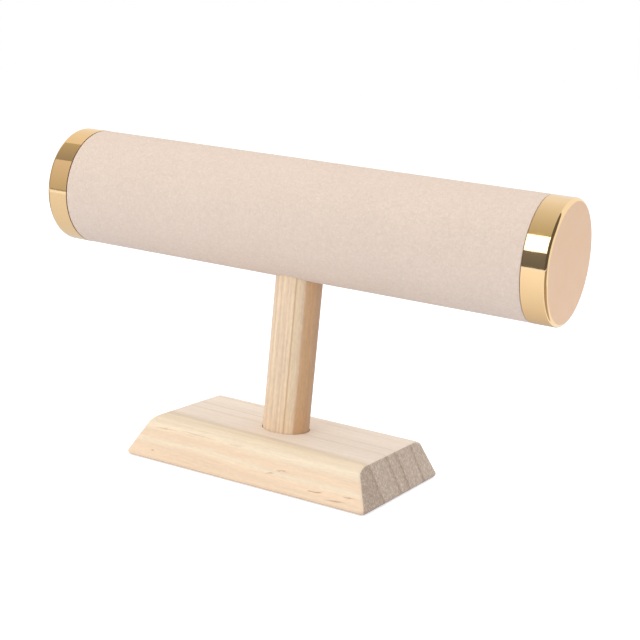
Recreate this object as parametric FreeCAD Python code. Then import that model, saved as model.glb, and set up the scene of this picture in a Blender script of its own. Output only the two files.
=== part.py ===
import FreeCAD, Part
import math
import os

# Bracelet display stand: a covered roll with metal end caps, on a round post
# that is plugged into a bevelled wooden base.
# Millimetres. Origin at the base's underside, under the post's axis.
# +X runs along the roll, +Z is up.

# Roll
roll_length = 278.0
roll_diameter = 60.0
roll_axis_height = 128.0

# Fabric cover, glued round the core tube
cover_thickness = 0.8
cover_glue_gap = 0.05
cover_end_gap = 0.4

# Core tube
tube_wall = 3.0

# End caps, pushed over the tube's bare ends
cap_wall = 0.8
cap_skirt_length = 12.5
cap_fit_clearance = 0.1
cap_inner_corner_radius = 1.0

# Block glued in the middle of the tube, which takes the post's head
block_length = 46.0
block_fit_clearance = 0.1
block_bore_roof = 12.0
block_end_chamfer = 1.0

# Post
post_diameter = 24.0
post_end_chamfer = 1.0
post_block_clearance = 0.1
post_tube_clearance = 0.25
post_cover_clearance = 0.15
post_base_clearance = 0.35

# Base
base_length = 139.0
base_width = 86.0
base_height = 20.0
base_end_inset = 9.5
base_side_inset = 8.0
base_crown_width = 8.0
base_crown_drop = 2.2
base_shoulder_radius = 3.0
base_foot_radius = 1.5
base_corner_radius = 2.2
base_socket_floor = 6.0

# Sizes that follow
tube_outer_radius = roll_diameter / 2 - cover_thickness - cover_glue_gap
tube_inner_radius = tube_outer_radius - tube_wall
tube_length = roll_length - 2 * cap_wall
tube_end_chamfer = cap_inner_corner_radius + cap_fit_clearance
cap_inner_radius = tube_outer_radius + cap_fit_clearance
cap_outer_radius = cap_inner_radius + cap_wall
cap_outer_corner_radius = cap_inner_corner_radius + cap_wall
cover_length = roll_length - 2 * (cap_skirt_length + cover_end_gap)
block_radius = tube_inner_radius - block_fit_clearance
post_radius = post_diameter / 2
post_bottom = base_socket_floor
post_top = roll_axis_height + block_radius - block_bore_roof

# How far a cutting tool runs past the face that it opens
tool_overrun = 1.0

# Limits for picking edges: how flat an edge in a plane is, and how far a leaning one spreads
edge_flatness = 0.01
least_edge_spread = 1.0

X_AXIS = FreeCAD.Vector(1, 0, 0)
Z_AXIS = FreeCAD.Vector(0, 0, 1)


def rod_along_x(radius, length):
    """A round bar on the roll's axis, centred over the post."""
    start = FreeCAD.Vector(-length / 2, 0, roll_axis_height)
    return Part.makeCylinder(radius, length, start, X_AXIS)


def rod_along_z(radius, bottom, top):
    """A round bar on the post's axis."""
    return Part.makeCylinder(radius, top - bottom, FreeCAD.Vector(0, 0, bottom), Z_AXIS)


def edges_in_plane(shape, axis, place):
    """The edges whose box is flat in X (axis 0), Y (1) or Z (2) at a place."""
    found = []
    for edge in shape.Edges:
        box = edge.BoundBox
        low = (box.XMin, box.YMin, box.ZMin)[axis]
        high = (box.XMax, box.YMax, box.ZMax)[axis]
        if abs(low - place) < edge_flatness and abs(high - place) < edge_flatness:
            found.append(edge)
    return found


def base_section():
    """The base's cross-section: leaning sides, then a crowned edge up to the flat top."""
    foot = base_width / 2
    shoulder = foot - base_side_inset
    flat = shoulder - base_crown_width
    shoulder_z = base_height - base_crown_drop
    crown_radius = (base_crown_width ** 2 + base_crown_drop ** 2) / (2 * base_crown_drop)
    crown_angle = math.asin(base_crown_width / crown_radius) / 2
    middle_y = flat + crown_radius * math.sin(crown_angle)
    middle_z = base_height - crown_radius * (1 - math.cos(crown_angle))

    def point(y, z):
        return FreeCAD.Vector(0, y, z)

    def crown(*points):
        return Part.Arc(*points).toShape()

    edges = [
        Part.makeLine(point(-foot, 0), point(foot, 0)),
        Part.makeLine(point(foot, 0), point(shoulder, shoulder_z)),
        crown(point(shoulder, shoulder_z), point(middle_y, middle_z), point(flat, base_height)),
        Part.makeLine(point(flat, base_height), point(-flat, base_height)),
        crown(point(-flat, base_height), point(-middle_y, middle_z), point(-shoulder, shoulder_z)),
        Part.makeLine(point(-shoulder, shoulder_z), point(-foot, 0)),
    ]
    return Part.Face(Part.Wire(edges))


def end_trim(side):
    """The wedge that the slanting saw cut takes off one end of the base."""
    reach = side * base_length / 2
    slope = base_end_inset / base_height
    depth = base_width
    above = base_height + base_foot_radius
    below = -base_foot_radius
    beyond = side * (base_length / 2 + base_height)
    corners = [
        FreeCAD.Vector(reach - side * slope * below, -depth, below),
        FreeCAD.Vector(reach - side * slope * above, -depth, above),
        FreeCAD.Vector(beyond, -depth, above),
        FreeCAD.Vector(beyond, -depth, below),
    ]
    face = Part.Face(Part.makePolygon(corners + corners[:1]))
    return face.extrude(FreeCAD.Vector(0, 2 * depth, 0))


def shoulder_edges(shape):
    """The two long edges where a leaning side meets the crowned edge."""
    shoulder = base_width / 2 - base_side_inset
    return edges_in_plane(shape, 1, shoulder) + edges_in_plane(shape, 1, -shoulder)


def sloping_corner_edges(shape):
    """The four straight corner edges that rise from the foot."""
    found = []
    for edge in shape.Edges:
        box = edge.BoundBox
        leans = min(box.XLength, box.YLength, box.ZLength) > least_edge_spread
        if leans and box.ZMin < base_height / 2 and isinstance(edge.Curve, Part.Line):
            found.append(edge)
    return found


def make_base():
    section = base_section()
    section.translate(FreeCAD.Vector(-base_length / 2, 0, 0))
    board = section.extrude(FreeCAD.Vector(base_length, 0, 0))
    board = board.makeFillet(base_shoulder_radius, shoulder_edges(board))
    for side in (-1, 1):
        board = board.cut(end_trim(side))
    board = board.makeFillet(base_corner_radius, sloping_corner_edges(board))
    board = board.makeFillet(base_foot_radius, edges_in_plane(board, 2, 0.0))
    socket = rod_along_z(post_radius + post_base_clearance, base_socket_floor, base_height + tool_overrun)
    return board.cut(socket)


def make_post():
    post = rod_along_z(post_radius, post_bottom, post_top)
    ends = edges_in_plane(post, 2, post_bottom) + edges_in_plane(post, 2, post_top)
    return post.makeChamfer(post_end_chamfer, ends)


def make_core_tube():
    tube = rod_along_x(tube_outer_radius, tube_length)
    ends = edges_in_plane(tube, 0, -tube_length / 2) + edges_in_plane(tube, 0, tube_length / 2)
    tube = tube.makeChamfer(tube_end_chamfer, ends)
    tube = tube.cut(rod_along_x(tube_inner_radius, tube_length))
    hole = rod_along_z(post_radius + post_tube_clearance, 0, roll_axis_height)
    return tube.cut(hole)


def make_socket_block():
    block = rod_along_x(block_radius, block_length)
    ends = edges_in_plane(block, 0, -block_length / 2) + edges_in_plane(block, 0, block_length / 2)
    block = block.makeChamfer(block_end_chamfer, ends)
    bore = rod_along_z(post_radius + post_block_clearance, 0, post_top)
    return block.cut(bore)


def make_cover():
    outer = rod_along_x(roll_diameter / 2, cover_length)
    inner = rod_along_x(tube_outer_radius + cover_glue_gap, cover_length)
    hole = rod_along_z(post_radius + post_cover_clearance, 0, roll_axis_height)
    return outer.cut(inner).cut(hole)


def make_end_cap(side):
    """A drawn cup with rounded corners; side is -1 for the left end, 1 for the right."""
    outer_end = roll_length / 2
    inner_end = outer_end - cap_wall
    rim = outer_end - cap_skirt_length
    outer_turn = outer_end - cap_outer_corner_radius
    diagonal = math.sqrt(0.5)

    def point(along, radius):
        return FreeCAD.Vector(side * along, 0, roll_axis_height + radius)

    def corner(corner_radius, wall_radius):
        centre_radius = wall_radius - corner_radius
        return Part.Arc(
            point(outer_turn, wall_radius),
            point(outer_turn + corner_radius * diagonal, centre_radius + corner_radius * diagonal),
            point(outer_turn + corner_radius, centre_radius),
        ).toShape()

    edges = [
        Part.makeLine(point(rim, cap_inner_radius), point(rim, cap_outer_radius)),
        Part.makeLine(point(rim, cap_outer_radius), point(outer_turn, cap_outer_radius)),
        corner(cap_outer_corner_radius, cap_outer_radius),
        Part.makeLine(point(outer_end, cap_outer_radius - cap_outer_corner_radius), point(outer_end, 0)),
        Part.makeLine(point(outer_end, 0), point(inner_end, 0)),
        Part.makeLine(point(inner_end, 0), point(inner_end, cap_inner_radius - cap_inner_corner_radius)),
        corner(cap_inner_corner_radius, cap_inner_radius),
        Part.makeLine(point(outer_turn, cap_inner_radius), point(rim, cap_inner_radius)),
    ]
    profile = Part.Face(Part.Wire(edges))
    return profile.revolve(FreeCAD.Vector(0, 0, roll_axis_height), X_AXIS, 360)


def main():
    os.makedirs("parts", exist_ok=True)
    pieces = {
        "base": make_base(),
        "post": make_post(),
        "core_tube": make_core_tube(),
        "socket_block": make_socket_block(),
        "cover": make_cover(),
        "end_cap_left": make_end_cap(-1),
        "end_cap_right": make_end_cap(1),
    }
    for name, shape in pieces.items():
        shape.exportStep(f"parts/{name}.step")
        print(name, len(shape.Solids), "solid", round(shape.Volume, 1), "mm3", shape.isValid())


main()
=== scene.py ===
import math

import bmesh
import bpy
from mathutils import Matrix, Vector, noise

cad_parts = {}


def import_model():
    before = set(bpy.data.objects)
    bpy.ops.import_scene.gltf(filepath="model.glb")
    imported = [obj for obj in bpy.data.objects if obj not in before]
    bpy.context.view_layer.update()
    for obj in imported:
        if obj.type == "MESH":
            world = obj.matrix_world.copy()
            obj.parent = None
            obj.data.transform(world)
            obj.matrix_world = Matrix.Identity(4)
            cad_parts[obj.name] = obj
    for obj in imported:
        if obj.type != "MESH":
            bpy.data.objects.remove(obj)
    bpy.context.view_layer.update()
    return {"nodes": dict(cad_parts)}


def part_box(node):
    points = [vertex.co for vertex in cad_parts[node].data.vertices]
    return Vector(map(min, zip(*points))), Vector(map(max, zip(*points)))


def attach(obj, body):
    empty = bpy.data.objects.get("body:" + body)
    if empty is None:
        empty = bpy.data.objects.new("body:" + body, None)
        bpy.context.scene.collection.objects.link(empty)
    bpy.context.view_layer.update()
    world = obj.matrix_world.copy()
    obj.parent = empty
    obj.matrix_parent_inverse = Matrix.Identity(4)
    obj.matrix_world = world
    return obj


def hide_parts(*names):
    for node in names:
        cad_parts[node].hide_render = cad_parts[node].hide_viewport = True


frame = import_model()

# Bracelet display stand: a suede-covered roll with polished gold caps on a pine
# post and base, before a plain white ground. Metres, +X along the roll, +Z up.

MM = 0.001
AXIS_X, AXIS_Y, AXIS_Z = 0, 1, 2


# Colours

def srgb(red, green, blue):
    """A screen colour from 0 to 255 as the linear values that a shader takes."""
    def linear(value):
        share = value / 255
        return share / 12.92 if share <= 0.04045 else ((share + 0.055) / 1.055) ** 2.4
    return linear(red), linear(green), linear(blue), 1.0


WHITE = (1.0, 1.0, 1.0, 1.0)
BLACK = (0.0, 0.0, 0.0, 1.0)


# Node graphs

# Sockets of the Mix node, which has a set for numbers and one for colours
MIX_SHARE = 0
MIX_NUMBERS = (2, 3)
MIX_NUMBER = 0
MIX_COLOURS = (6, 7)
MIX_COLOUR = 2

# Where nearly all values of a soft noise lie
SOFT_NOISE = (0.3, 0.7)


class Graph:
    """A material's node tree. Positions are the object's own, in millimetres."""

    def __init__(self, name):
        self.material = bpy.data.materials.new(name)
        self.material.use_nodes = True
        self.tree = self.material.node_tree
        self.shader = self.tree.nodes["Principled BSDF"]
        self.place = self.vector("SCALE", self.add("ShaderNodeTexCoord").outputs["Object"], 1 / MM)

    def add(self, kind, **settings):
        node = self.tree.nodes.new(kind)
        for key, value in settings.items():
            setattr(node, key, value)
        return node

    def put(self, socket, value):
        """Gives a socket another node's output, or a constant."""
        if isinstance(value, bpy.types.NodeSocket):
            self.tree.links.new(value, socket)
        else:
            socket.default_value = value

    def finish(self, **values):
        """Sets the surface shader's sockets by name, such as Base_Color."""
        for key, value in values.items():
            self.put(self.shader.inputs[key.replace("_", " ")], value)
        return self.material

    def vector(self, operation, a, b):
        """Vector maths: SCALE takes a number, the others a vector."""
        node = self.add("ShaderNodeVectorMath", operation=operation)
        self.put(node.inputs[0], a)
        self.put(node.inputs["Scale"] if operation == "SCALE" else node.inputs[1], b)
        return node.outputs[0]

    def maths(self, operation, *values):
        node = self.add("ShaderNodeMath", operation=operation)
        for socket, value in zip(node.inputs, values):
            self.put(socket, value)
        return node.outputs[0]

    def total(self, *values):
        """The sum of two or more numbers."""
        result = values[0]
        for value in values[1:]:
            result = self.maths("ADD", result, value)
        return result

    def times(self, a, b):
        return self.maths("MULTIPLY", a, b)

    def parts(self, vector):
        node = self.add("ShaderNodeSeparateXYZ")
        self.put(node.inputs[0], vector)
        return node.outputs

    def join(self, x, y, z):
        node = self.add("ShaderNodeCombineXYZ")
        for socket, value in zip(node.inputs, (x, y, z)):
            self.put(socket, value)
        return node.outputs[0]

    def normal(self):
        """The surface's own direction, split into its three parts."""
        return self.parts(self.add("ShaderNodeNewGeometry").outputs["Normal"])

    def noise(self, vector, detail=2.0, roughness=0.5, distortion=0.0):
        """Noise from 0 to 1 with features about one unit of the vector wide."""
        node = self.add("ShaderNodeTexNoise")
        self.put(node.inputs["Vector"], vector)
        node.inputs["Scale"].default_value = 1.0
        node.inputs["Detail"].default_value = detail
        node.inputs["Roughness"].default_value = roughness
        node.inputs["Distortion"].default_value = distortion
        return node.outputs[0]

    def speckle(self, per_mm, detail=2.0, roughness=0.5, distortion=0.0):
        """Noise with about this many features to a millimetre, alike in all directions."""
        return self.noise(self.vector("SCALE", self.place, per_mm), detail, roughness, distortion)

    def swing(self, value, reach):
        """Turns noise into an offset of about plus or minus reach."""
        return self.times(self.maths("SUBTRACT", value, 0.5), 2 * reach)

    def between(self, value, low, high, to_low=0.0, to_high=1.0):
        """Eases from to_low to to_high while value goes from low to high."""
        node = self.add("ShaderNodeMapRange", interpolation_type="SMOOTHSTEP")
        ends = {"From Min": low, "From Max": high, "To Min": to_low, "To Max": to_high}
        for key, number in ends.items():
            self.put(node.inputs[key], number)
        self.put(node.inputs["Value"], value)
        return node.outputs[0]

    def bands(self, place, stops):
        """Colours laid out along a distance, blending from each stop to the next."""
        low, high = stops[0][0], stops[-1][0]
        node = self.add("ShaderNodeValToRGB")
        points = node.color_ramp.elements
        points[0].color = stops[0][1]
        points[1].color = stops[-1][1]
        for distance, colour in stops[1:-1]:
            points.new((distance - low) / (high - low)).color = colour
        self.put(node.inputs[0], self.maths("DIVIDE", self.maths("SUBTRACT", place, low), high - low))
        return node.outputs[0]

    def mix(self, share, a, b, blend="MIX"):
        """Colour a towards colour b by share."""
        node = self.add("ShaderNodeMix", data_type="RGBA", blend_type=blend)
        self.put(node.inputs[MIX_SHARE], share)
        for socket, colour in zip(MIX_COLOURS, (a, b)):
            self.put(node.inputs[socket], colour)
        return node.outputs[MIX_COLOUR]

    def blend(self, share, a, b):
        """Number a towards number b by share."""
        node = self.add("ShaderNodeMix", data_type="FLOAT")
        self.put(node.inputs[MIX_SHARE], share)
        for socket, number in zip(MIX_NUMBERS, (a, b)):
            self.put(node.inputs[socket], number)
        return node.outputs[MIX_NUMBER]

    def shade(self, colour, factor):
        """Multiplies a colour by a number."""
        return self.mix(1.0, colour, self.join(factor, factor, factor), "MULTIPLY")

    def bump(self, height, depth_mm, normal=None):
        node = self.add("ShaderNodeBump")
        node.inputs["Strength"].default_value = 1.0
        node.inputs["Distance"].default_value = depth_mm * MM
        self.put(node.inputs["Height"], height)
        if normal is not None:
            self.put(node.inputs["Normal"], normal)
        return node.outputs[0]


# Wood

PINE_CREAM = srgb(245, 226, 197)
PINE_LIGHT = srgb(247, 229, 201)
PINE_PEACH = srgb(241, 213, 182)
PINE_BEIGE = srgb(236, 217, 190)
PINE_ROSE = srgb(248, 232, 215)
PINE_ROSE_DEEP = srgb(243, 225, 206)
PINE_LATE = srgb(208, 180, 146)
PINE_RESIN = srgb(176, 132, 92)
PINE_END = srgb(199, 180, 162)
PINE_END_DIM = srgb(184, 164, 146)
PINE_END_LATE = srgb(170, 147, 127)
POST_PALE = srgb(234, 208, 178)
POST_ROSY = srgb(224, 196, 166)
POST_LIGHT = srgb(240, 215, 181)
POST_WARM = srgb(231, 206, 173)
POST_TAN = srgb(206, 165, 123)
POST_TAN_PALE = srgb(198, 161, 126)

# How the tree's rings cross each piece. slant is the direction across the grain in which
# the rings follow each other, radius how far off the tree's centre is, and drift how far
# they run askew for each millimetre along the grain, growing from none at drift_from to
# all of it at drift_to, both across the grain. tones lists the wood's colours from ring to
# ring and end_tones those of its sawn ends. edges is where each ring's dark outer edge
# lies, and edge_width how wide. sway is how far the rings wander, and figure how strongly
# the fine fibres show. Millimetres.
BASE_RINGS = {
    "slant": (0.964, 0.266),
    "radius": 420.0,
    "drift": 0.04,
    "drift_from": -36.0,
    "drift_to": -28.0,
    "tones": [
        (-60.0, PINE_PEACH), (-37.0, PINE_PEACH), (-35.4, PINE_CREAM), (-34.0, PINE_PEACH),
        (-32.5, PINE_PEACH), (-30.5, PINE_CREAM), (-28.0, PINE_LIGHT), (-24.0, PINE_CREAM),
        (-20.5, PINE_CREAM), (-19.0, PINE_BEIGE), (-17.5, PINE_BEIGE), (-15.5, PINE_ROSE_DEEP),
        (-12.5, PINE_ROSE), (1.0, PINE_ROSE), (2.5, PINE_ROSE_DEEP), (4.5, PINE_ROSE),
        (10.5, PINE_ROSE), (11.8, PINE_ROSE_DEEP), (13.5, PINE_ROSE), (60.0, PINE_ROSE),
    ],
    "end_tones": [(-60.0, PINE_END_DIM), (-18.0, PINE_END_DIM), (-15.0, PINE_END), (60.0, PINE_END)],
    "edges": (-16.2, 2.3, 11.6, 28.9),
    "edge_width": 1.8,
    "sway": 2.0,
    "figure": 0.65,
}

# The post's rings stand upright and show as stripes from left to right
POST_RINGS = {
    "slant": (0.886, 0.464),
    "radius": 90.0,
    "drift": 0.0,
    "drift_from": 0.0,
    "drift_to": 1.0,
    "tones": [
        (-12.0, POST_PALE), (-11.0, POST_PALE), (-10.4, POST_ROSY), (-9.6, POST_LIGHT),
        (-8.9, POST_PALE), (-8.2, POST_ROSY), (-7.4, POST_LIGHT), (-6.6, POST_PALE),
        (-5.6, POST_ROSY), (-4.6, POST_PALE), (-3.9, POST_ROSY), (-3.1, POST_LIGHT),
        (-2.3, POST_LIGHT), (-1.8, POST_TAN), (-1.2, POST_WARM), (1.5, POST_WARM),
        (2.6, POST_ROSY), (3.7, POST_TAN), (8.0, POST_TAN), (10.5, POST_TAN_PALE),
        (12.0, POST_TAN_PALE),
    ],
    "end_tones": [(-12.0, PINE_END), (12.0, PINE_END)],
    "edges": (-8.4, -1.8, 4.2),
    "edge_width": 0.7,
    "sway": 0.7,
    "figure": 1.15,
}

BLOCK_RINGS = {
    "slant": (0.3, 0.95),
    "radius": 90.0,
    "drift": 0.0,
    "drift_from": 0.0,
    "drift_to": 1.0,
    "tones": [(-25.0, PINE_CREAM), (-8.0, PINE_PEACH), (6.0, PINE_CREAM), (25.0, PINE_BEIGE)],
    "end_tones": [(-25.0, PINE_END), (25.0, PINE_END_DIM)],
    "edges": (-16.0, -9.0, -2.0, 6.0, 13.0),
    "edge_width": 1.5,
    "sway": 0.8,
    "figure": 1.0,
}

# Resin marks on the base's front: place along it, height, half length, half width, slope
# and depth of tone
RESIN_MARKS = [
    (-50.0, 15.9, 9.0, 0.38, 0.06, 0.36),
    (-31.0, 16.7, 12.0, 0.28, -0.01, 0.34),
    (-8.0, 16.4, 4.5, 0.30, 0.05, 0.35),
    (15.0, 8.3, 3.0, 0.30, 0.20, 0.70),
    (20.5, 10.4, 3.2, 0.30, 0.12, 0.65),
    (41.0, 5.2, 5.0, 0.38, 0.08, 0.85),
    (52.5, 3.5, 6.5, 0.38, 0.08, 0.80),
    (59.5, 6.4, 5.0, 0.32, 0.06, 0.60),
    (-53.4, 4.8, 1.2, 0.55, 0.0, 0.55),
]


# How fast a ring's dark edge swells and how fast it drops, as shares of its width, on the
# long sides and on the sawn ends, and how far its course on the ends is ragged
SIDE_RISE, SIDE_FALL = 0.7, 0.3
END_RISE, END_FALL = 1.5, 0.8
END_RAGGED = 0.5
RING_MARGIN_MM = 40.0

# The rings' short wavering, as a share of their sway
WAVER_SHARE = 0.35

# The wood's marks, each a noise drawn out along the grain: features to a millimetre along
# the grain and across it, a shift along it, detail, roughness and distortion
WOOD_MARKS = {
    "sway": (0.012, 0.03, 0.0, 1.0, 0.5, 0.0),
    "waver": (0.06, 0.25, 9.0, 2.0, 0.5, 0.0),
    "fibre": (0.08, 1.3, 3.0, 3.0, 0.6, 0.0),
    "dashes": (0.35, 1.1, 5.0, 1.0, 0.5, 0.0),
    "stripes": (0.010, 0.34, 14.0, 3.0, 0.55, 0.3),
    "blotch": (0.015, 0.05, 21.0, 2.0, 0.5, 0.0),
    "flecks": (0.16, 2.2, 33.0, 2.0, 0.5, 0.0),
}

# The part of each mark's noise over which its effect sets in
FIBRE_RANGE = (0.32, 0.68)
DASH_RANGE = (0.35, 0.65)
FLECK_RANGE = (0.70, 0.80)
BREAK_RANGE = (0.35, 0.6)

# How much darker and lighter than the plain wood each mark makes it
STRIPE_SHADES = (0.955, 1.025)
BLOTCH_SHADES = (0.985, 1.012)
FIBRE_DARKER, FIBRE_LIGHTER = 0.055, 0.035
DASH_DARKER, DASH_LIGHTER = 0.035, 0.025

# How much of a darker tone a mark brings in, and how the fibres break up a resin mark
LATE_SHARE = 0.20
FLECK_SHARE = 0.22
STAIN_BREAKS = (0.65, 1.0)

# Which way a face looks when resin shows on it and when it counts as sawn across
FRONT_FACING = (-0.6, -0.4)
SAWN_FACING = (0.6, 0.75)

# The sawn ends: features to a millimetre in X, Y and Z, each noise's character, the part
# of it over which its effect sets in, and how strong that is
PORES_PER_MM = (0.9, 1.2, 0.7)
PORE_DETAIL = 1.0
PORE_RANGE = (0.34, 0.66)
PORE_SHADES = (0.84, 1.10)
SPECKS_PER_MM = (0.7, 1.0, 0.5)
SPECK_CHARACTER = (1.0, 0.5, 0.8)
SPECK_RANGE = (0.56, 0.66)
SPECK_SHARE = 0.32
PITS = (1.9, 2.0, 0.6)
PIT_RANGE = (0.62, 0.75)
PIT_SHARE = 0.35
RAGGED_COURSE = (0.6, 2.0, 0.7)
END_LATE_SHARE = 0.85

# Relief and gloss of the wood
FIBRE_RELIEF = 0.6
LATE_RELIEF = 0.3
FLECK_DENT = 0.3
STAIN_RELIEF = 0.8
PORE_RELIEF = 2.5
WOOD_RELIEF_MM = 0.05
WOOD_ROUGHNESS = (0.60, 0.74)

# The ragged outline of a resin mark: features to a millimetre, reach, and soft rim
RESIN_RAGGED_PER_MM = (0.35, 0.0, 1.6)
RESIN_RAGGED_MM = 0.55
RESIN_RIM = (0.1, 1.0)


def ring_edges(g, place, edges, rise_mm, fall_mm):
    """A mask that swells towards each ring's dark outer edge and drops behind it."""
    stops = [(edges[0] - RING_MARGIN_MM, BLACK)]
    for edge in edges:
        stops += [(edge - rise_mm, BLACK), (edge, WHITE), (edge + fall_mm, BLACK)]
    stops.append((edges[-1] + RING_MARGIN_MM, BLACK))
    return g.bands(place, stops)


def resin(g, x, z, marks):
    """Short dark dashes that lie along the grain, with ragged ends."""
    rough_outline = g.noise(g.vector("MULTIPLY", g.place, RESIN_RAGGED_PER_MM))
    ragged = g.swing(rough_outline, RESIN_RAGGED_MM)
    result = 0.0
    for centre_x, centre_z, half_length, half_width, slope, depth in marks:
        along = g.maths("SUBTRACT", x, centre_x)
        across = g.maths("SUBTRACT", g.maths("SUBTRACT", z, centre_z), g.times(along, slope))
        along = g.maths("DIVIDE", along, half_length)
        across = g.maths("DIVIDE", g.total(across, ragged), half_width)
        distance = g.total(g.times(along, along), g.times(across, across))
        result = g.maths("MAXIMUM", result, g.between(distance, *RESIN_RIM, depth, 0.0))
    return result


def ring_distance(g, grain_axes, rings, sway, waver):
    """How far out in the tree's rings a point lies, in millimetres from the piece's middle."""
    length, first, second = grain_axes
    slant = rings["slant"]
    out = g.total(g.times(first, slant[0]), g.times(second, slant[1]))
    aside = g.maths("SUBTRACT", g.times(second, slant[0]), g.times(first, slant[1]))
    bow = g.maths("DIVIDE", g.times(aside, aside), 2 * rings["radius"])
    drift = g.between(first, rings["drift_from"], rings["drift_to"], 0.0, rings["drift"])
    swayed = g.swing(sway, rings["sway"])
    wavering = g.swing(waver, WAVER_SHARE * rings["sway"])
    return g.total(g.maths("SUBTRACT", out, bow), g.times(length, drift), swayed, wavering)


def long_sides(g, ring_place, rings, late, marks):
    """The wood's colour along the grain, from its rings' tones and its fine marks."""
    figure = rings["figure"]
    fibre_shades = (1 - FIBRE_DARKER * figure, 1 + FIBRE_LIGHTER * figure)
    dash_shades = (1 - DASH_DARKER * figure, 1 + DASH_LIGHTER * figure)
    side = g.bands(ring_place, rings["tones"])
    side = g.mix(g.times(late, LATE_SHARE), side, PINE_LATE)
    side = g.shade(side, g.between(marks["stripes"], *SOFT_NOISE, *STRIPE_SHADES))
    side = g.shade(side, g.between(marks["blotch"], *SOFT_NOISE, *BLOTCH_SHADES))
    side = g.shade(side, g.between(marks["fibre"], *FIBRE_RANGE, *fibre_shades))
    side = g.shade(side, g.between(marks["dashes"], *DASH_RANGE, *dash_shades))
    return g.mix(g.times(marks["flecks"], FLECK_SHARE), side, PINE_RESIN)


def sawn_ends(g, ring_place, rings, pores):
    """The wood's colour across the grain, greyer and full of pores."""
    width = rings["edge_width"]
    ragged = g.total(ring_place, g.swing(g.speckle(*RAGGED_COURSE), END_RAGGED * width))
    late = ring_edges(g, ragged, rings["edges"], END_RISE * width, END_FALL * width)
    specks = g.noise(g.vector("MULTIPLY", g.place, SPECKS_PER_MM), *SPECK_CHARACTER)
    pits = g.speckle(*PITS)
    end = g.mix(g.times(late, END_LATE_SHARE), g.bands(ring_place, rings["end_tones"]), PINE_END_LATE)
    end = g.shade(end, g.between(pores, *PORE_RANGE, *PORE_SHADES))
    end = g.mix(g.times(g.between(specks, *SPECK_RANGE), SPECK_SHARE), end, PINE_ROSE)
    return g.mix(g.times(g.between(pits, *PIT_RANGE), PIT_SHARE), end, PINE_END_LATE)


def pine(name, along, rings, resin_marks=()):
    """Sanded pine with its grain along one axis and resin marks on its front."""
    g = Graph(name)
    x, y, z = g.parts(g.place)
    length, first, second = [(x, y, z), (y, x, z), (z, x, y)][along]
    marks = {}
    for kind, (along_scale, across_scale, shift, *character) in WOOD_MARKS.items():
        place = g.join(g.total(g.times(length, along_scale), shift),
                       g.times(first, across_scale), g.times(second, across_scale))
        marks[kind] = g.noise(place, *character)
    marks["flecks"] = g.between(marks["flecks"], *FLECK_RANGE)
    fibre = marks["fibre"]
    ring_place = ring_distance(g, (length, first, second), rings, marks["sway"], marks["waver"])
    width = rings["edge_width"]
    late = ring_edges(g, ring_place, rings["edges"], SIDE_RISE * width, SIDE_FALL * width)
    side = long_sides(g, ring_place, rings, late, marks)

    facing = g.normal()
    dents = g.times(marks["flecks"], FLECK_DENT)
    if resin_marks:
        on_front = g.between(facing[AXIS_Y], *FRONT_FACING, 1.0, 0.0)
        stains = g.times(resin(g, x, z, resin_marks), on_front)
        broken = g.between(fibre, *BREAK_RANGE, *STAIN_BREAKS)
        side = g.mix(g.times(stains, broken), side, PINE_RESIN)
        dents = g.maths("MAXIMUM", dents, stains)

    sawn = g.between(g.maths("ABSOLUTE", facing[along]), *SAWN_FACING)
    pores = g.noise(g.vector("MULTIPLY", g.place, PORES_PER_MM), PORE_DETAIL)
    colour = g.mix(sawn, side, sawn_ends(g, ring_place, rings, pores))

    raised = g.total(g.times(fibre, FIBRE_RELIEF), g.times(late, LATE_RELIEF))
    relief = g.maths("SUBTRACT", raised, g.times(dents, STAIN_RELIEF))
    rough = g.times(sawn, g.times(pores, PORE_RELIEF))
    return g.finish(
        Base_Color=colour, Roughness=g.between(fibre, *SOFT_NOISE, *WOOD_ROUGHNESS),
        Normal=g.bump(g.total(relief, rough), WOOD_RELIEF_MM),
    )


# Suede

SUEDE = srgb(225, 206, 190)
SUEDE_DEEP = srgb(214, 193, 178)
SUEDE_LIGHT = srgb(236, 220, 207)
SUEDE_SHEEN = srgb(255, 240, 232)

# The nap's noises: features to a millimetre, detail, roughness and distortion
NAP = (0.22, 3.0, 0.65, 0.9)
TUFTS = (0.78, 1.5, 0.6, 0.8)
TIPS = (0.80, 2.0, 0.7, 0.3)
HAIRS = (4.0, 2.0, 0.6)
BROAD = (0.03, 1.0)

# The part of each noise over which its effect sets in, how far it shades the suede, and
# how deep its relief is
TUFT_RANGE = (0.32, 0.68)
TIP_RANGE = (0.58, 0.70)
HAIR_RANGE = (0.25, 0.75)
TUFT_SHADES = (0.960, 1.028)
HAIR_SHADES = (0.985, 1.012)
BROAD_SHADES = (0.992, 1.008)
DEEP_SHARE = 0.18
TIP_SHARE = 0.45
TUFT_RELIEF = 0.7
HAIR_RELIEF = 0.3
TUFT_RELIEF_MM = 0.36
NAP_RELIEF_MM = 0.42


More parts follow.
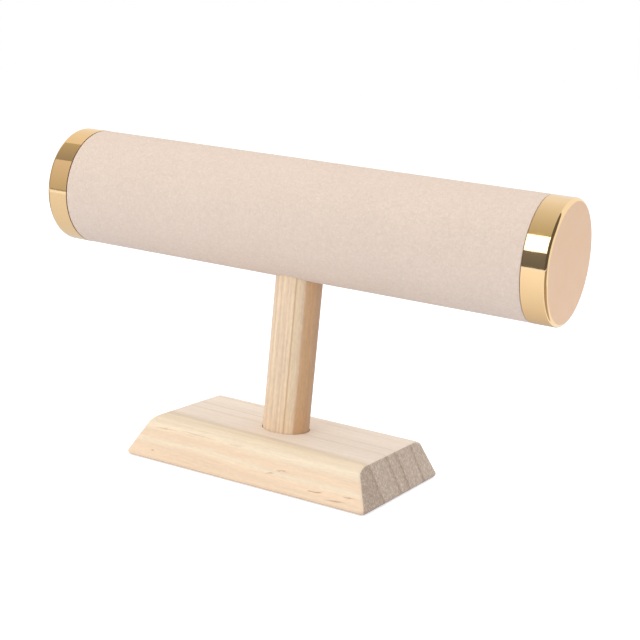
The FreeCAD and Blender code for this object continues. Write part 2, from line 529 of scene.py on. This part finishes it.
def suede():
    """Short napped microfibre: a soft uneven nap with fine fibres and a light sheen."""
    g = Graph("suede")
    nap = g.speckle(*NAP)
    tuft = g.speckle(*TUFTS)
    tips = g.between(g.speckle(*TIPS), *TIP_RANGE)
    hair = g.speckle(*HAIRS)
    broad = g.speckle(*BROAD)
    colour = g.mix(g.between(nap, *SOFT_NOISE, DEEP_SHARE, 0.0), SUEDE, SUEDE_DEEP)
    colour = g.mix(g.times(tips, TIP_SHARE), colour, SUEDE_LIGHT)
    colour = g.shade(colour, g.between(tuft, *TUFT_RANGE, *TUFT_SHADES))
    colour = g.shade(colour, g.between(hair, *HAIR_RANGE, *HAIR_SHADES))
    colour = g.shade(colour, g.between(broad, *SOFT_NOISE, *BROAD_SHADES))
    height = g.total(g.times(tuft, TUFT_RELIEF), g.times(hair, HAIR_RELIEF))
    normal = g.bump(nap, NAP_RELIEF_MM, g.bump(height, TUFT_RELIEF_MM))
    return g.finish(
        Base_Color=colour, Roughness=0.95, Normal=normal, Specular_IOR_Level=0.15,
        Sheen_Weight=0.12, Sheen_Roughness=0.5, Sheen_Tint=SUEDE_SHEEN,
    )


# Suede sleeve

COVER_LOW, COVER_HIGH = (Vector(corner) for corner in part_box("cover"))
TUBE_LOW, TUBE_HIGH = (Vector(corner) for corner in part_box("core_tube"))
POST_LOW, POST_HIGH = (Vector(corner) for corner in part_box("post"))
ROLL_RADIUS = (COVER_HIGH.y - COVER_LOW.y) / 2
ROLL_HEIGHT = (COVER_HIGH.z + COVER_LOW.z) / 2

# The sleeve's wall, its rolled rims, and how finely its mesh is divided
GLUE_GAP = 0.05 * MM
SLEEVE_INSIDE = (TUBE_HIGH.y - TUBE_LOW.y) / 2 + GLUE_GAP
SLEEVE_THICKNESS = ROLL_RADIUS - SLEEVE_INSIDE
RIM_ROUNDING = 0.3 * MM
RIM_STEPS = 4
SLEEVE_ROWS = 110
SLEEVE_INNER_ROWS = 40
SLEEVE_COLUMNS = 150
SHARP_DEGREES = 40

# The butt seam underneath: how far from it the mesh has its closer rows, how far beyond
# the last of them the even rows begin, its form, and how it puckers along the roll
SEAM_STEPS_MM = (0.1, 0.2, 0.32, 0.46, 0.65, 0.9, 1.2, 1.6)
SEAM_CLEARANCE = 1.3
SEAM_DEPTH = 0.34 * MM
SEAM_WIDTH = 0.26 * MM
PUCKER_SHARE = 0.35
PUCKER_LENGTH = 4 * MM
PUCKER_PLACE = 7.0

# The surface's faint unevenness
NAP_UNEVENNESS = 0.04 * MM
UNEVEN_LENGTH = 22 * MM
UNEVEN_ROUND = 1.6

# The post's hole, and how far down from the roll's axis its cutter reaches, in roll radii
POST_HOLE_GAP = 0.15 * MM
POST_HOLE_SEGMENTS = 96
POST_HOLE_REACH = 1.2


def sleeve_profile():
    """The sleeve's wall as a loop of places along the roll and depths below its surface."""
    left, right = COVER_LOW.x, COVER_HIGH.x
    turn = [math.pi / 2 * step / RIM_STEPS for step in range(1, RIM_STEPS + 1)]
    bend = [(RIM_ROUNDING * (1 - math.sin(a)), RIM_ROUNDING * (1 - math.cos(a))) for a in turn]
    run = right - left - 2 * RIM_ROUNDING
    outside = [(left + RIM_ROUNDING + run * i / SLEEVE_ROWS, 0.0) for i in range(SLEEVE_ROWS + 1)]
    right_rim = [(right - inset, depth) for inset, depth in bend]
    inner_run = right - left
    inner_places = [right - inner_run * i / SLEEVE_INNER_ROWS for i in range(SLEEVE_INNER_ROWS + 1)]
    inside = [(place, SLEEVE_THICKNESS) for place in inner_places]
    left_rim = [(left + inset, depth) for inset, depth in reversed(bend)]
    return outside + right_rim + inside + left_rim


def sleeve_angles():
    """Directions round the roll from straight down, closer together beside the seam."""
    seam = [side * step * MM / ROLL_RADIUS for step in SEAM_STEPS_MM for side in (-1, 1)]
    widest = max(seam)
    even = [2 * math.pi * i / SLEEVE_COLUMNS - math.pi for i in range(SLEEVE_COLUMNS)]
    return sorted([0.0] + seam + [angle for angle in even if abs(angle) > widest * SEAM_CLEARANCE])


def sleeve_lift(x, angle):
    """How far the suede's surface dips: a faint unevenness, and the butt seam underneath."""
    arc = ROLL_RADIUS * angle
    around = Vector((x / UNEVEN_LENGTH, math.sin(angle) * UNEVEN_ROUND, math.cos(angle) * UNEVEN_ROUND))
    uneven = NAP_UNEVENNESS * (0.5 * noise.noise(around) - 0.5)
    pucker = 1.0 + PUCKER_SHARE * noise.noise(Vector((x / PUCKER_LENGTH, 0.0, PUCKER_PLACE)))
    return uneven - SEAM_DEPTH * pucker * math.exp(-(arc / SEAM_WIDTH) ** 2)


def cover():
    """The suede sleeve with its rolled ends, its seam and the hole for the post."""
    profile = sleeve_profile()
    angles = sleeve_angles()
    points = []
    for angle in angles:
        for x, depth in profile:
            inner = depth >= SLEEVE_THICKNESS
            radius = SLEEVE_INSIDE if inner else ROLL_RADIUS - depth + sleeve_lift(x, angle)
            points.append((x, radius * math.sin(angle), ROLL_HEIGHT - radius * math.cos(angle)))
    count = len(profile)
    faces = []
    for column in range(len(angles)):
        following = (column + 1) % len(angles)
        for row in range(count):
            above = (row + 1) % count
            faces.append((column * count + row, column * count + above,
                          following * count + above, following * count + row))
    mesh = bpy.data.meshes.new("suede_cover")
    mesh.from_pydata(points, [], faces)
    piece = bpy.data.objects.new("suede_cover", mesh)
    bpy.context.scene.collection.objects.link(piece)
    tidy_normals(mesh)
    cut_post_hole(piece)
    piece.data.polygons.foreach_set("use_smooth", [True] * len(piece.data.polygons))
    piece.data.set_sharp_from_angle(angle=math.radians(SHARP_DEGREES))
    piece.data.materials.clear()
    piece.data.materials.append(suede())
    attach(piece, "root")
    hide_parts("cover")


def tidy_normals(mesh):
    """Turns every face outwards."""
    work = bmesh.new()
    work.from_mesh(mesh)
    bmesh.ops.recalc_face_normals(work, faces=work.faces)
    work.to_mesh(mesh)
    work.free()


def cut_post_hole(piece):
    """Cuts the round hole that the post goes through."""
    radius = (POST_HIGH.x - POST_LOW.x) / 2 + POST_HOLE_GAP
    depth = ROLL_RADIUS * POST_HOLE_REACH
    mesh = bpy.data.meshes.new("post_hole")
    work = bmesh.new()
    bmesh.ops.create_cone(
        work, cap_ends=True, segments=POST_HOLE_SEGMENTS, radius1=radius, radius2=radius, depth=depth,
    )
    bmesh.ops.translate(work, vec=(0, 0, ROLL_HEIGHT - depth / 2), verts=work.verts)
    work.to_mesh(mesh)
    work.free()
    cutter = bpy.data.objects.new("post_hole", mesh)
    bpy.context.scene.collection.objects.link(cutter)
    cut = piece.modifiers.new("post_hole", "BOOLEAN")
    cut.object = cutter
    cut.operation = "DIFFERENCE"
    cut.solver = "EXACT"
    seen = bpy.context.evaluated_depsgraph_get()
    finished = bpy.data.meshes.new_from_object(piece.evaluated_get(seen))
    piece.modifiers.clear()
    piece.data = finished
    bpy.data.objects.remove(cutter)


# Gold, card and the hidden block

GOLD = srgb(253, 218, 168)
GOLD_FACE = srgb(236, 198, 161)
CARD = srgb(150, 118, 88)
CARD_DARK = srgb(112, 84, 58)

# How square to the roll's axis a face is where the satin end face begins and is complete
FACE_FACING = (0.97, 0.995)
SMEAR = (0.10, 3.0, 0.6)
SMEAR_SHADES = (0.98, 1.0)
SKIRT_SMEAR_RANGE = (0.3, 0.75)
SKIRT_ROUGHNESS = (0.05, 0.10)
FACE_ROUGHNESS = (0.34, 0.42)
BRUSHED_PER_MM = (9.0, 0.12, 0.12)
BRUSHED_DETAIL = 3.0
BRUSHED_RELIEF = 0.05
RIPPLES_PER_MM = 0.35
GOLD_RELIEF_MM = 0.006

# The wound strip: how far its edge runs along the tube in one radian and in a whole turn,
# and how wide the edge is as a share of that turn
STRIP_RISE_MM = 12.0
STRIP_PITCH_MM = 75.4
STRIP_EDGE = 0.012
STRIP_EDGE_SHARE = 0.7
CARD_FLECKS = (1.6, 4.0, 0.7)
CARD_FLECK_RANGE = (0.35, 0.7)
CARD_RELIEF_MM = 0.05


def gold():
    """Polished, lightly brushed round the skirt, with a finer satin on the end face."""
    g = Graph("polished_gold")
    facing = g.maths("ABSOLUTE", g.normal()[AXIS_X])
    face = g.between(facing, *FACE_FACING)
    smear = g.speckle(*SMEAR)
    brushed = g.noise(g.vector("MULTIPLY", g.place, BRUSHED_PER_MM), BRUSHED_DETAIL)
    ripple = g.speckle(RIPPLES_PER_MM)
    colour = g.mix(face, GOLD, GOLD_FACE)
    colour = g.shade(colour, g.between(smear, *SOFT_NOISE, *SMEAR_SHADES))
    skirt_rough = g.between(smear, *SKIRT_SMEAR_RANGE, *SKIRT_ROUGHNESS)
    face_rough = g.between(smear, *SOFT_NOISE, *FACE_ROUGHNESS)
    height = g.total(ripple, g.times(brushed, BRUSHED_RELIEF))
    return g.finish(
        Base_Color=colour, Metallic=1.0, Roughness=g.blend(face, skirt_rough, face_rough),
        Normal=g.bump(height, GOLD_RELIEF_MM),
    )


def card():
    """Wound grey-brown board with the faint spiral of its paper strip."""
    g = Graph("wound_card")
    x, y, z = g.parts(g.place)
    turn = g.maths("ARCTAN2", y, g.maths("SUBTRACT", z, ROLL_HEIGHT / MM))
    run = g.total(x, g.times(turn, STRIP_RISE_MM))
    lap = g.maths("FRACT", g.maths("DIVIDE", run, STRIP_PITCH_MM))
    line = g.between(lap, 0.0, STRIP_EDGE, 1.0, 0.0)
    flecks = g.speckle(*CARD_FLECKS)
    colour = g.mix(g.between(flecks, *CARD_FLECK_RANGE), CARD, CARD_DARK)
    colour = g.mix(g.times(line, STRIP_EDGE_SHARE), colour, CARD_DARK)
    return g.finish(Base_Color=colour, Roughness=0.9, Normal=g.bump(flecks, CARD_RELIEF_MM))


def dress(node, material):
    """Gives a carried-over piece its material."""
    for place in frame["nodes"][node].material_slots:
        place.material = material


# Stage

# The ground, the level of the white world on the object, and how far the ground glows to
# the camera and in reflections
FLOOR_SIZE = 6.0
FLOOR_DROP = 0.2 * MM
FLOOR_COLOUR = srgb(234, 238, 246)
WORLD_LEVEL = 0.86
BACKDROP_GLOW = 0.45
REFLECTED_GLOW = 0.12

# Where each lamp stands and what it aims at, its size, and its watts
LAMPS = {
    "key": ((-0.6, -1.3, 0.50), (0, 0, 0.08), (1.1, 0.8), 5.2),
    "top": ((0.25, 0.15, 1.4), (0, 0, 0.1), (1.2, 1.0), 4.0),
}


def floor():
    """A white sweep that shows pure white and keeps a soft shadow."""
    half = FLOOR_SIZE / 2
    mesh = bpy.data.meshes.new("floor")
    corners = [(-half, -half, 0), (half, -half, 0), (half, half, 0), (-half, half, 0)]
    mesh.from_pydata(corners, [], [(0, 1, 2, 3)])
    ground = bpy.data.objects.new("floor", mesh)
    bpy.context.scene.collection.objects.link(ground)
    ground.location.z = -FLOOR_DROP
    g = Graph("white_ground")
    path = g.add("ShaderNodeLightPath")
    glow = g.total(g.times(path.outputs["Is Camera Ray"], BACKDROP_GLOW),
                   g.times(path.outputs["Is Glossy Ray"], REFLECTED_GLOW),
                   g.times(path.outputs["Is Transmission Ray"], REFLECTED_GLOW))
    g.finish(Base_Color=FLOOR_COLOUR, Roughness=1.0, Specular_IOR_Level=0.0, Emission_Color=WHITE)
    g.put(g.shader.inputs["Emission Strength"], glow)
    ground.data.materials.append(g.material)


def world():
    """White to the camera and in reflections, and a plain soft studio to everything else."""
    background = bpy.data.worlds.new("studio")
    background.use_nodes = True
    bpy.context.scene.world = background
    tree = background.node_tree
    shader = tree.nodes["Background"]
    path = tree.nodes.new("ShaderNodeLightPath")
    seen = path.outputs["Is Camera Ray"]
    for ray in ("Is Glossy Ray", "Is Transmission Ray"):
        either = tree.nodes.new("ShaderNodeMath")
        either.operation = "MAXIMUM"
        tree.links.new(seen, either.inputs[0])
        tree.links.new(path.outputs[ray], either.inputs[1])
        seen = either.outputs[0]
    strength = tree.nodes.new("ShaderNodeMapRange")
    strength.inputs["To Min"].default_value = WORLD_LEVEL
    strength.inputs["To Max"].default_value = 1.0
    tree.links.new(seen, strength.inputs["Value"])
    tree.links.new(strength.outputs[0], shader.inputs["Strength"])
    shader.inputs["Color"].default_value = WHITE


def lamp(name, place, towards, size, power):
    """A soft rectangular lamp that no metal mirrors."""
    light = bpy.data.lights.new(name, "AREA")
    light.shape = "RECTANGLE"
    light.size, light.size_y = size
    light.energy = power
    item = bpy.data.objects.new(name, light)
    bpy.context.scene.collection.objects.link(item)
    item.location = place
    item.rotation_mode = "QUATERNION"
    item.rotation_quaternion = (Vector(towards) - Vector(place)).to_track_quat("-Z", "Y")
    item.visible_glossy = False


def tint(level, green=1.0, blue=1.0):
    """A light's colour of some level, warmer as its green and blue shares drop."""
    return level, level * green, level * blue, 1.0


# Glowing panels, no lamps, that paint reflections into the polished metal: only the metal
# mirrors them, and they light and shade nothing. The floor panels darken downwards, the
# right one warming too: a painted reflection of the shade under the roll. Each is part of a
# tube round the roll's axis: its radius, its reach along the roll, its lowest and highest
# direction seen from the axis in degrees (0 is level to the front, 90 straight up), and its
# light at those two.

FAR = 0.475
NEAR = 0.120
PANEL_STEPS = 12
PANELS = {
    "right_softbox": (FAR, -0.12, 0.07, 18, 46, tint(2.6), tint(2.6)),
    "right_room": (FAR, -0.12, 0.07, -10, 18, tint(0.15), tint(0.20)),
    "right_ceiling": (FAR, -0.12, 0.07, 46, 130, tint(0.50, 0.92, 0.65), tint(0.90)),
    "right_top": (FAR, -0.12, 0.07, 130, 175, tint(0.90), tint(0.90)),
    # Painted reflection of the floor, dimming and warming downwards into painted shade under the roll
    "right_floor_and_shade": (NEAR, 0.03, 0.13, -170, -11, tint(0.42, 0.80, 0.60), tint(1.06)),
    "right_side": (FAR, 0.07, 1.00, -10, 95, tint(0.10), tint(0.15, 0.90, 0.75)),
    "right_low_side": (NEAR, 0.16, 0.40, -110, -10, tint(0.52, 0.84, 0.70), tint(0.34, 0.82, 0.65)),
    "left_top": (FAR, -0.70, -0.34, 90, 175, tint(0.84, 0.93, 0.80), tint(0.95, 0.95, 0.85)),
    "left_ceiling": (FAR, -0.70, -0.34, 48, 90, tint(0.34, 0.92, 0.78), tint(0.52, 0.90, 0.66)),
    "left_room": (FAR, -0.70, -0.34, -11, 48, tint(0.55, 0.92, 0.72), tint(0.74, 0.91, 0.80)),
    "left_skirting": (FAR, -0.70, -0.34, -14, -11, tint(0.35, 0.90, 0.75), tint(0.35, 0.90, 0.75)),
    # Painted reflection of the floor, dimming downwards into painted shade under the roll
    "left_floor_and_shade": (NEAR, -0.28, -0.14, -170, -16, tint(0.66), tint(0.86)),
    "left_side": (FAR, -2.50, -0.70, -14, 95, tint(0.25, 0.85, 0.70), tint(0.35, 0.85, 0.70)),
    "left_low_side": (NEAR, -0.90, -0.28, -110, -16, tint(0.35, 0.85, 0.70), tint(0.35, 0.85, 0.70)),
}


def panel(name, radius, left, right, low, high, low_light, high_light):
    """A glowing panel, painted into reflections only, that blends from one light to the other as its
    direction rises.
    """
    points = []
    for step in range(PANEL_STEPS + 1):
        angle = math.radians(low + (high - low) * step / PANEL_STEPS)
        for x in (left, right):
            points.append((x, -radius * math.cos(angle), ROLL_HEIGHT + radius * math.sin(angle)))
    mesh = bpy.data.meshes.new(name)
    mesh.from_pydata(points, [], [(2 * i, 2 * i + 1, 2 * i + 3, 2 * i + 2) for i in range(PANEL_STEPS)])
    piece = bpy.data.objects.new(name, mesh)
    bpy.context.scene.collection.objects.link(piece)
    piece.visible_camera = False
    piece.visible_diffuse = False
    piece.visible_transmission = False
    piece.visible_shadow = False
    g = Graph(name)
    _, y, z = g.parts(g.place)
    forward = g.times(y, -1.0)
    upward = g.maths("SUBTRACT", z, ROLL_HEIGHT / MM)
    middle = math.radians((low + high) / 2)
    along = g.total(g.times(forward, math.cos(middle)), g.times(upward, math.sin(middle)))
    across = g.maths("SUBTRACT", g.times(upward, math.cos(middle)), g.times(forward, math.sin(middle)))
    half = math.radians((high - low) / 2)
    share = g.maths("ADD", g.maths("DIVIDE", g.maths("ARCTAN2", across, along), 2 * half), 0.5)
    light = g.mix(share, low_light, high_light)
    g.finish(
        Base_Color=BLACK, Roughness=1.0, Specular_IOR_Level=0.0,
        Emission_Color=light, Emission_Strength=1.0,
    )
    mesh.materials.append(g.material)


# Camera: the photo's own view, from a fit of the stand's outline

VIEW_YAW = 27.651
VIEW_PITCH = 11.394
VIEW_ROLL = 5.400
VIEW_FOCAL_PX = 1420.0
VIEW_OFFSET_MM = Vector((-19.35, 74.869, 733.951))
PHOTO_SIDE_PX = 640
SENSOR_MM = 36.0
NEAREST_SEEN = 10 * MM


def camera():
    """The view from the photo, worked out from its yaw, pitch and roll."""
    yaw, pitch, roll = (math.radians(a) for a in (VIEW_YAW, VIEW_PITCH, VIEW_ROLL))
    # Right in the picture is the world's +X, down is its -Z, and away is its +Y
    upright = Matrix(((1, 0, 0), (0, 0, -1), (0, 1, 0)))
    turn = Matrix.Rotation(roll, 3, "Z") @ upright
    turn = turn @ Matrix.Rotation(pitch, 3, "X") @ Matrix.Rotation(-yaw, 3, "Z")
    eye = -(turn.transposed() @ VIEW_OFFSET_MM) * MM
    pose = Matrix((turn[0], -turn[1], -turn[2])).transposed().to_4x4()
    pose.translation = eye
    data = bpy.data.cameras.new("camera")
    data.sensor_fit = "HORIZONTAL"
    data.sensor_width = SENSOR_MM
    data.lens = VIEW_FOCAL_PX / PHOTO_SIDE_PX * SENSOR_MM
    data.clip_start = NEAREST_SEEN
    item = bpy.data.objects.new("camera", data)
    bpy.context.scene.collection.objects.link(item)
    item.matrix_world = pose
    bpy.context.scene.camera = item


def main():
    bpy.context.scene.view_settings.view_transform = "Standard"
    dress("base", pine("pine_base", AXIS_X, BASE_RINGS, RESIN_MARKS))
    dress("post", pine("pine_post", AXIS_Z, POST_RINGS))
    dress("socket_block", pine("pine_block", AXIS_X, BLOCK_RINGS))
    dress("core_tube", card())
    gold_metal = gold()
    dress("end_cap_left", gold_metal)
    dress("end_cap_right", gold_metal)
    cover()
    floor()
    world()
    for name, settings in LAMPS.items():
        lamp(name, *settings)
    for name, shape in PANELS.items():
        panel(name, *shape)
    camera()


main()
